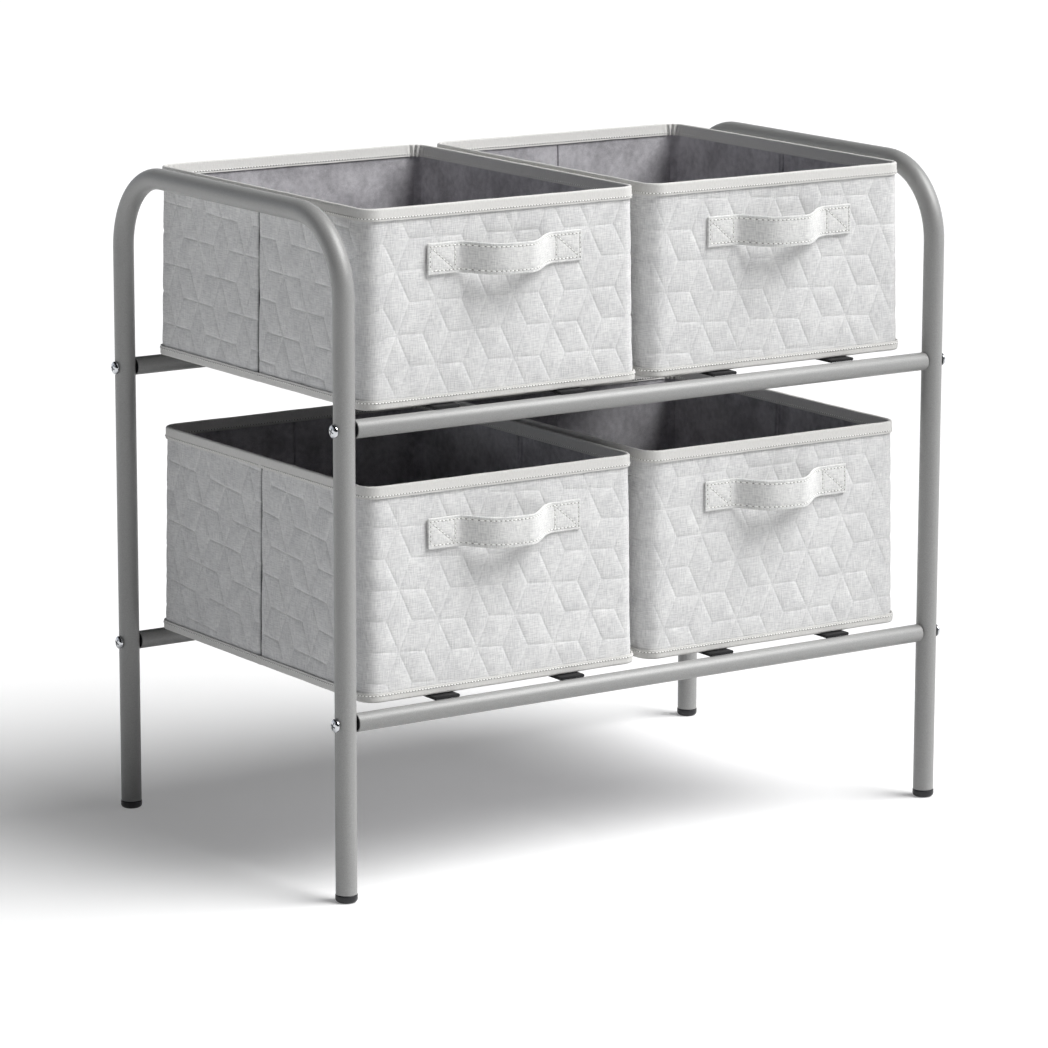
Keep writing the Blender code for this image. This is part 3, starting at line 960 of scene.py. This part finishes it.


# Rim and base bindings
# Off-white woven tape, folded over the rim and under the bottom edge, and sewn through with one
# row of lockstitch. The thread pulls a small dimple at each needle hole, and a flat dark disc
# beside each stitch is painted shade for the hole.
base_tape_under = 0.007
base_fold = 0.0014
stitch_count = 416
stitch_pitch = 2 * panel_length / stitch_count
stitch_length = 0.0021
stitch_radius = 0.00058
thread_out = tape_sheet / 2 + stitch_radius / 3
stitch_from_edge = 0.0022
stitch_pull = 0.00022
stitch_pull_reach = 0.0012
tape_wave = 0.00025
tape_wave_size = 0.03
tape_wave_ring = 0.19
tape_lump = 0.0007
tape_lump_reach = 0.0022
tape_outside = -(layer_gap + tape_sheet / 2)
pleat_depth = 0.0013
pleat_width = 0.0062
pleat_reach = 0.012
pleat_hold = 1.3
tape_weld = 0.00002
flap_margin = 0.001
tape_white = "#F0EFEC"
tape_shade = "#DCDBD8"
tape_rib = 0.0009
thread_white = "#FDFDFB"
# Beside each stitch lies a flat dark disc, painted shade where the needle hole is: its size and its tone.
needle_pit = (0.00056, 0.0005)
pit_shade_tone = "#9D9B96"
thread_twist = 0.0004

woven_tape, tree = new_material("woven_polyester_tape")
weave = threads_along(tree, tape_rib, 4 * tape_rib)
finish_material(tree, Base_Color=mix_tones(tree, weave, tape_shade, tape_white), Roughness=0.8,
                Specular_IOR_Level=0.3, Sheen_Weight=0.1, Sheen_Roughness=0.5,
                Normal=raised(tree, weave, 0.3, 0.0003))

sewing_thread, tree = new_material("spun_sewing_thread")
twist = speckle(tree, place_on_piece(tree), thread_twist, 1.0)
# Painted shade: the discs by the stitches take a dark tone, standing in for the shadow in a needle hole.
pit_shade_mask = add_node(tree, "ShaderNodeAttribute", {"attribute_name": "needle_pit"}).outputs["Fac"]
finish_material(tree, Base_Color=mix_tones(tree, pit_shade_mask, thread_white, pit_shade_tone), Roughness=0.6,
                Sheen_Weight=0.2, Normal=raised(tree, twist, 0.3, 0.0001))


def make_stitch():
    """One stitch along x at the origin, and beside it a flat dark disc, painted shade for the needle hole.
    """
    pieces = []
    for painted_pit in (0.0, 1.0):
        if painted_pit:
            ops.mesh.primitive_circle_add(vertices=6, radius=1, fill_type="NGON",
                                          rotation=(math.pi / 2, 0, 0))
            size = (needle_pit[0], 1, needle_pit[1])
        else:
            ops.mesh.primitive_uv_sphere_add(segments=6, ring_count=4, radius=1,
                                             rotation=(0, math.pi / 2, 0))
            size = (stitch_length / 2, stitch_radius, stitch_radius)
        piece = bpy.context.object
        ops.object.transform_apply()
        piece.scale = size
        piece.location = (painted_pit * stitch_pitch / 2, 0, 0)
        ops.object.transform_apply()
        mark = piece.data.attributes.new("needle_pit", "FLOAT", "POINT")
        mark.data.foreach_set("value", [painted_pit] * len(piece.data.vertices))
        pieces.append(piece)
    select_pieces(pieces)
    ops.object.join()
    return pieces[0]


def fold_tape(edge, fold, radius, steps, turn, run_on, cuts):
    """A stitch's length of tape: a flap from its edge to the fold, the fold, and what runs on
    behind it. Its flaps are cut into level rows."""
    middle = stitch_pitch / 2
    upward = 1 if fold > edge else -1
    ops.mesh.primitive_plane_add(size=1, location=(middle, tape_outside, (edge + fold) / 2),
                                 rotation=(math.pi / 2, 0, 0))
    strip = sized(stitch_pitch, abs(fold - edge), 1)
    open_for_edit(strip)
    select_where(strip, "edges", lambda co: upward * (co.z - fold) > -touch)
    ops.mesh.spin(steps=steps, angle=turn, center=(middle, tape_outside + radius, fold), axis=(1, 0, 0))
    extrude(*run_on)
    weld()
    select_where(strip, "edges", lambda co: abs(co.x - middle) < touch)
    ops.mesh.subdivide(number_cuts=1)
    ops.mesh.select_mode(type="EDGE")
    select_where(strip, "edges", lambda co: upward * (fold - co.z) > flap_margin and (
        co.x < touch or abs(co.x - middle) < touch or co.x > stitch_pitch - touch))
    ops.mesh.subdivide(number_cuts=cuts)
    ops.mesh.select_mode(type="VERT")
    close_outward()
    return strip


def finish_tape(strip, bin_name, kind, row_rise):
    """Repeats the strip round the bin, pulls in its needle holes, wraps it and gives it a sheet."""
    name = bin_name + "_" + kind + "_tape"
    repeat(strip, "round_the_bin", stitch_count, (stitch_pitch, 0, 0))
    strip.location = (-panel_length, 0, 0)
    select_pieces([strip])
    ops.object.transform_apply()
    lay_uv(strip)
    along, depth, rise = read_points(strip)
    holes = np.cos(2 * math.pi * along / stitch_pitch)
    around = along / panel_length * math.pi
    ring = (tape_wave_ring * np.cos(around), tape_wave_ring * np.sin(around), 0 * rise)
    wave = ripple(ring, tape_wave_size, len(name))
    pull = stitch_pull * holes * np.exp(-((rise - row_rise) / stitch_pull_reach) ** 2)
    outer = depth < rim_fold - layer_gap - tape_sheet / 2
    inward = np.where(outer, 1.0, -1.0)
    to_seam = np.abs(np.abs(along) - panel_half)
    lump = tape_lump * np.exp(-(to_seam / tape_lump_reach) ** 2)
    from_corner = np.abs(to_seam - side_half - corner_run / 2)
    pleats = np.clip(pleat_hold - from_corner / pleat_reach, 0, 1)
    pleats = np.sin(2 * math.pi * along / pleat_width) * pleats
    pleats = pleat_depth * pleats * np.clip(depth / (2 * rim_fold), 0, 1)
    write_points(strip, (along, depth + inward * (pull - lump) + pleats, rise + tape_wave * wave))
    wrap_round_bin(strip, bin_name)
    open_for_edit(strip)
    weld(tape_weld)
    leave_edit()
    apply_modifier(strip, "woven_tape", "SOLIDIFY", thickness=tape_sheet, offset=0.0)
    finish_piece(strip, name, woven_tape, bin_name, "binding_tape", bin_name + "_" + kind + "_binding",
                 sharp_degrees=50.0)


def finish_thread(bin_name, kind, row_rise, depths):
    """Rows of stitches round the bin at one height, one row at each depth."""
    rows = []
    for depth in depths:
        row = add_again(stitch)
        row.location = (-panel_length + stitch_pitch / 2, depth, row_rise)
        rows.append(row)
    select_pieces(rows)
    ops.object.transform_apply()
    if len(rows) > 1:
        ops.object.join()
    thread = rows[0]
    repeat(thread, "round_the_bin", stitch_count, (stitch_pitch, 0, 0))
    wrap_round_bin(thread, bin_name)
    finish_piece(thread, bin_name + "_" + kind + "_stitching", sewing_thread, bin_name, "binding_tape",
                 bin_name + "_" + kind + "_binding")


def make_rim_binding(bin_name):
    low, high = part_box(bin_name + "_shell")
    tape_low, tape_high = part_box(bin_name + "_rim_binding")
    edge = tape_low.z - low.z
    fold = tape_high.z - low.z - tape_sheet / 2 - rim_fold
    slant = wall_thickness + lining_sheet + 2 * layer_gap + tape_sheet / 2 - tape_outside - 2 * rim_fold
    row_rise = edge + stitch_from_edge
    strip = fold_tape(edge, fold, rim_fold, 7, math.pi, (0, slant, edge - fold), 5)
    finish_tape(strip, bin_name, "rim", row_rise)
    inner_depth = rim_slant(row_rise, high.z - low.z) + thread_out
    finish_thread(bin_name, "rim", row_rise, (tape_outside - thread_out, inner_depth))


def make_base_binding(bin_name):
    low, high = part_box(bin_name + "_shell")
    tape_low, tape_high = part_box(bin_name + "_base_binding")
    edge = tape_high.z - low.z
    fold = tape_low.z - low.z + tape_sheet / 2 + base_fold
    row_rise = edge - stitch_from_edge
    strip = fold_tape(edge, fold, base_fold, 3, -math.pi / 2, (0, base_tape_under - base_fold, 0), 4)
    finish_tape(strip, bin_name, "base", row_rise)
    finish_thread(bin_name, "base", row_rise, (tape_outside - thread_out,))


stitch = make_stitch()
for bin_name in bins:
    make_rim_binding(bin_name)
    make_base_binding(bin_name)


# Handles
# A strap of the same off-white linen, folded double over wadding. Its two ends are sewn flat to
# the front in boxed, crossed patches, and the slack between them stands out as a finger loop.
strap_length = 0.160
strap_patch = 0.029
strap_half_width = 0.01375
strap_thickness = 0.0022
strap_bulge = 0.026
strap_sag = 0.0018
strap_rise_rate = 9.8
strap_crest = 0.17
strap_columns = 140
strap_rows = 26
strap_row_inset = 0.0032
strap_row_squash = 0.72
strap_row_reach = 0.0011
strap_stitch_pitch = 0.0039
strap_seat = layer_gap + strap_thickness / 2
strap_linen_light = "#F7F7F5"
strap_linen_dark = "#D2D2D2"
strap_slub_length = 0.007
strap_thread = 0.0008
strap_edge_round = 0.0008
strap_swell = 0.3
strap_edge_thin = 0.2
strap_row_from_end = 0.0022
strap_row_from_loop = 0.0015

strap_linen, tree = new_material("woven_strap_linen")
crossing = woven(tree, strap_slub_length, strap_thread)
colour = mix_tones(tree, shaded(tree, crossing, 0.6, 1.3), strap_linen_dark, strap_linen_light)
finish_material(tree, Base_Color=colour, Roughness=0.88, Specular_IOR_Level=0.25, Sheen_Weight=0.12,
                Sheen_Roughness=0.5, Normal=raised(tree, crossing, 0.35, 0.0004))


def strap_arch(share):
    """How far the loop stands out, 0 to 1, at a share of its half span: it climbs steeply near
    the left end, rounds off to a crest right of the middle and falls back to the right end."""
    climbed = strap_rise_rate * np.clip((share + 1) / (1 + strap_crest), 0, None)
    fallen = np.clip((share - strap_crest) / (1 - strap_crest), 0, 1)
    return (1 - (1 + climbed + climbed ** 2 / 2) * np.exp(-climbed)) * (1 - fallen ** 2 * (3 - 2 * fallen))


def bend_strap(obj, middle_rise):
    """Bends a flat strap, or its stitches, into the standing loop between the two sewn ends."""
    along, depth, rise = read_points(obj)
    arch_half = strap_length / 2 - strap_patch
    share = np.clip(along / arch_half, -1, 1)
    stand = strap_bulge * strap_arch(share)
    step = 0.01
    slope = strap_bulge * (strap_arch(share + step) - strap_arch(share - step)) / (2 * step) / arch_half
    grow = np.sqrt(1 + slope ** 2)
    drop = strap_sag * strap_arch(share)
    write_points(obj, (along + depth * slope / grow, depth / grow - stand - strap_seat,
                       rise - drop + middle_rise))


def make_handle(bin_name):
    node = bin_name + "_handle"
    low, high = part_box(bin_name + "_shell")
    middle_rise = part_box(node)[1].z - strap_half_width - low.z
    ops.mesh.primitive_grid_add(x_subdivisions=strap_columns, y_subdivisions=strap_rows, size=1,
                                rotation=(math.pi / 2, 0, 0))
    strap = sized(strap_length, 2 * strap_half_width, 1)
    apply_modifier(strap, "folded_double", "SOLIDIFY", thickness=strap_thickness, offset=0.0)
    round_edges(strap, "soft_edges", strap_edge_round, 3)
    lay_uv(strap)
    along, depth, rise = read_points(strap)
    inner = strap_half_width - strap_row_inset
    end = strap_length / 2 - strap_row_from_end
    arch = strap_length / 2 - strap_patch + strap_row_from_loop
    lines = [((-end, inner), (end, inner)), ((-end, -inner), (end, -inner))]
    for outer, near in ((-end, -arch), (arch, end)):
        lines += [((outer, -inner), (outer, inner)), ((near, -inner), (near, inner)),
                  ((outer, inner), (near, -inner))]
    puff = 1 + strap_swell * np.clip(1 - (rise / inner) ** 2, -strap_edge_thin, 1)
    for (x1, z1), (x2, z2) in lines:
        length = math.hypot(x2 - x1, z2 - z1)
        ahead = np.clip(((along - x1) * (x2 - x1) + (rise - z1) * (z2 - z1)) / length ** 2, 0, 1)
        away = np.hypot(along - x1 - ahead * (x2 - x1), rise - z1 - ahead * (z2 - z1))
        at_row = np.exp(-(away / strap_row_reach) ** 2)
        puff = puff * (1 - at_row) + np.minimum(puff, strap_row_squash) * at_row
    write_points(strap, (along, depth * puff, rise))
    bend_strap(strap, middle_rise)
    wrap_round_bin(strap, bin_name)
    finish_piece(strap, node + "_strap", strap_linen, bin_name, "quilted_fabric", node,
                 sharp_degrees=60.0)
    rows = []
    face = -strap_row_squash * strap_thickness / 2 - stitch_radius / 2
    for (x1, z1), (x2, z2) in lines:
        count = round(math.hypot(x2 - x1, z2 - z1) / strap_stitch_pitch)
        row = add_again(stitch)
        row.scale.x = strap_stitch_pitch / stitch_pitch
        row.rotation_euler = (0, -math.atan2(z2 - z1, x2 - x1), 0)
        step = Vector(((x2 - x1) / count, 0, (z2 - z1) / count))
        row.location = Vector((x1, face, z1)) + step / 2
        rows.append(row)
        select_pieces([row])
        ops.object.transform_apply()
        repeat(row, "along_the_row", count, step)
    select_pieces(rows)
    ops.object.join()
    thread = rows[0]
    bend_strap(thread, middle_rise)
    wrap_round_bin(thread, bin_name)
    finish_piece(thread, node + "_stitching", sewing_thread, bin_name, "binding_tape", node)


for bin_name in bins:
    make_handle(bin_name)
bpy.data.objects.remove(stitch)


# Base boards
# A loose sheet of stiff board in each bin's floor, wrapped in charcoal felt that doesn't show
# dirt. It lifts out, and its heat-sealed border shows as a shallow groove near the edge.
board_corner = 0.014
board_edge_round = 0.0009
board_border = 0.006
border_groove = 0.0004
groove_bank = 0.0005
groove_floor = 0.0006
charcoal_dark = "#46454A"
charcoal_light = "#5C5B60"

charcoal_felt = felt_material("charcoal_needled_felt", charcoal_dark, charcoal_light)


def make_base_board(bin_name):
    node = bin_name + "_base_board"
    low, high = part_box(node)
    middle = (low + high) / 2
    ops.mesh.primitive_plane_add(size=1, location=(middle.x, middle.y, low.z))
    board = sized(high.x - low.x, high.y - low.y, 1)
    open_for_edit(board)
    ops.mesh.bevel(offset=board_corner, segments=8, affect="VERTICES")
    extrude(0, 0, high.z - low.z)
    close_outward()
    round_edges(board, "wrapped_edges", board_edge_round, 3)
    open_for_edit(board)
    select_where(board, "faces",
                 lambda co: co.z > high.z - touch / 2 and abs(co.x - middle.x) < board_corner)
    for thickness, depth in ((board_border, 0), (groove_bank, -border_groove), (groove_floor, 0),
                             (groove_bank, border_groove)):
        ops.mesh.inset(thickness=thickness, depth=depth)
    leave_edit()
    finish_piece(board, node + "_wrapped", charcoal_felt, bin_name + "_board",
                 "lining_felt", node, sharp_degrees=30.0)


for bin_name in bins:
    make_base_board(bin_name)
